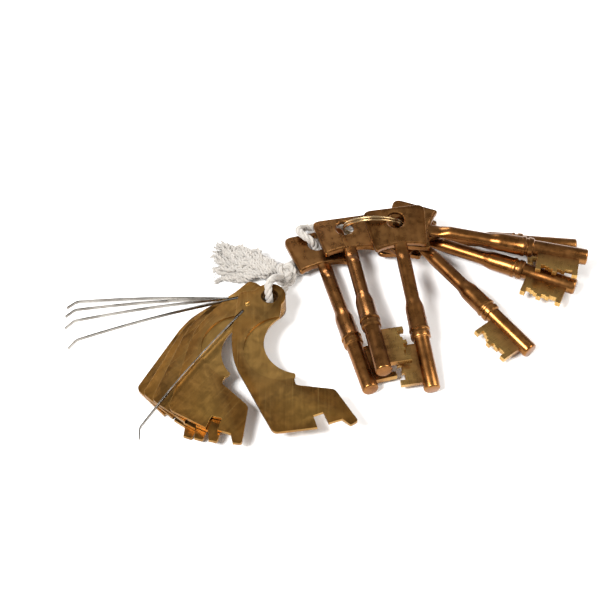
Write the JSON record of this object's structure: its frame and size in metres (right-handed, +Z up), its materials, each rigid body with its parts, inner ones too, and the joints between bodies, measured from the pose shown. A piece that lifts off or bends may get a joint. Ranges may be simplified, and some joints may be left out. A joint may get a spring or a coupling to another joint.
{
  "type": "lever lock key and lever set",
  "caption": "Mortice lock keys on a split ring, tied with frayed cotton cord to a fanned stack of flat lock levers with strip springs.",
  "frame": {"origin": "on the table, under the middle of the whole set's bounding box", "axes": "+X from the levers towards the keys on the right, +Y away from the levers' feet, +Z up off the table"},
  "size_m": [0.1995, 0.1146, 0.0228],
  "materials": {
    "bronze": "forged bronze-brown brass, worn satin",
    "brass": "blanked and rubbed brass, satin",
    "steel": "bright spring strip",
    "wire": "drawn wire",
    "cotton": "off-white cotton cord"
  },
  "bodies": {
    "ring_and_cord": {"split_ring": "wire", "cord_lever_loop": "cotton", "cord_key_loop": "cotton", "cord_knot": "cotton", "cord_tassel": "cotton"},
    "key_a": {"key_a": "bronze"},
    "key_b": {"key_b": "bronze"},
    "key_c": {"key_c": "bronze"},
    "key_d": {"key_d": "bronze"},
    "key_e": {"key_e": "bronze"},
    "key_f": {"key_f": "bronze"},
    "key_g": {"key_g": "bronze"},
    "lever_1": {"lever_1": "brass"},
    "lever_2": {"lever_2": "brass"},
    "lever_3": {"lever_3": "brass"},
    "lever_4": {"lever_4": "brass"},
    "lever_5": {"lever_5": "brass"},
    "spring_1": {"spring_1": "steel"},
    "spring_2": {"spring_2": "steel"},
    "spring_3": {"spring_3": "steel"},
    "spring_4": {"spring_4": "steel"},
    "spring_5": {"spring_5": "steel"}
  },
  "joints": [
    {"name": "key_a_swing", "type": "hinge", "parent": "ring_and_cord", "child": "key_a", "pos_m": [-0.0047, 0.0382, 0.0057], "axis": [0, 0, 1], "range_deg": [-5, 0.5]},
    {"name": "key_b_swing", "type": "hinge", "parent": "ring_and_cord", "child": "key_b", "pos_m": [0.00631, 0.04282, 0.0094], "axis": [0, 0, 1], "range_deg": [-0.6, 0.6]},
    {"name": "key_c_swing", "type": "hinge", "parent": "ring_and_cord", "child": "key_c", "pos_m": [0.0256, 0.03825, 0.0192], "axis": [0, 0, 1], "range_deg": [-0.6, 6]},
    {"name": "key_d_swing", "type": "hinge", "parent": "ring_and_cord", "child": "key_d", "pos_m": [0.02899, 0.04189, 0.0114], "axis": [0, 0, 1], "range_deg": [-8, 8]},
    {"name": "key_e_swing", "type": "hinge", "parent": "ring_and_cord", "child": "key_e", "pos_m": [0.02782, 0.04385, 0.0072], "axis": [0, 0, 1], "range_deg": [-3.5, 0.8]},
    {"name": "key_f_swing", "type": "hinge", "parent": "ring_and_cord", "child": "key_f", "pos_m": [0.02864, 0.04049, 0.0144], "axis": [0, 0, 1], "range_deg": [-0.8, 10]},
    {"name": "key_g_swing", "type": "hinge", "parent": "ring_and_cord", "child": "key_g", "pos_m": [0.02537, 0.04524, 0.0042], "axis": [0, 0, 1], "range_deg": [-0.8, 3.5]},
    {"name": "lever_1_turn", "type": "hinge", "parent": "ring_and_cord", "child": "lever_1", "pos_m": [-0.02232, 0.00707, 0.0044], "axis": [-0.0253, -0.0497, 0.9984], "range_deg": [-5, 55]},
    {"name": "lever_2_turn", "type": "hinge", "parent": "ring_and_cord", "child": "lever_2", "pos_m": [-0.02236, 0.00698, 0.0061], "axis": [-0.0253, -0.0497, 0.9984], "range_deg": [-8, 52]},
    {"name": "lever_3_turn", "type": "hinge", "parent": "ring_and_cord", "child": "lever_3", "pos_m": [-0.0224, 0.0069, 0.00779], "axis": [-0.0253, -0.0497, 0.9984], "range_deg": [-10, 50]},
    {"name": "lever_4_turn", "type": "hinge", "parent": "ring_and_cord", "child": "lever_4", "pos_m": [-0.02245, 0.00681, 0.00949], "axis": [-0.0253, -0.0497, 0.9984], "range_deg": [-15, 48]},
    {"name": "lever_5_turn", "type": "hinge", "parent": "ring_and_cord", "child": "lever_5", "pos_m": [-0.02249, 0.00673, 0.01119], "axis": [-0.0253, -0.0497, 0.9984], "range_deg": [-50, 12]},
    {"name": "spring_1_flex", "type": "hinge", "parent": "lever_1", "child": "spring_1", "pos_m": [-0.0334, 0.01139, 0.00433], "axis": [-0.0253, -0.0497, 0.9984], "range_deg": [-2.5, 2], "stiffness_Nm_per_rad": 0.02},
    {"name": "spring_2_flex", "type": "hinge", "parent": "lever_2", "child": "spring_2", "pos_m": [-0.03372, 0.01052, 0.00598], "axis": [-0.0253, -0.0497, 0.9984], "range_deg": [-2.5, 2], "stiffness_Nm_per_rad": 0.02},
    {"name": "spring_3_flex", "type": "hinge", "parent": "lever_3", "child": "spring_3", "pos_m": [-0.03403, 0.00944, 0.00763], "axis": [-0.0253, -0.0497, 0.9984], "range_deg": [-2.5, 2], "stiffness_Nm_per_rad": 0.02},
    {"name": "spring_4_flex", "type": "hinge", "parent": "lever_4", "child": "spring_4", "pos_m": [-0.03431, 0.00771, 0.00923], "axis": [-0.0253, -0.0497, 0.9984], "range_deg": [-2.5, 2], "stiffness_Nm_per_rad": 0.02},
    {"name": "spring_5_flex", "type": "hinge", "parent": "lever_5", "child": "spring_5", "pos_m": [-0.03238, 0.00014, 0.01061], "axis": [-0.0253, -0.0497, 0.9984], "range_deg": [-2.5, 2], "stiffness_Nm_per_rad": 0.02}
  ]
}
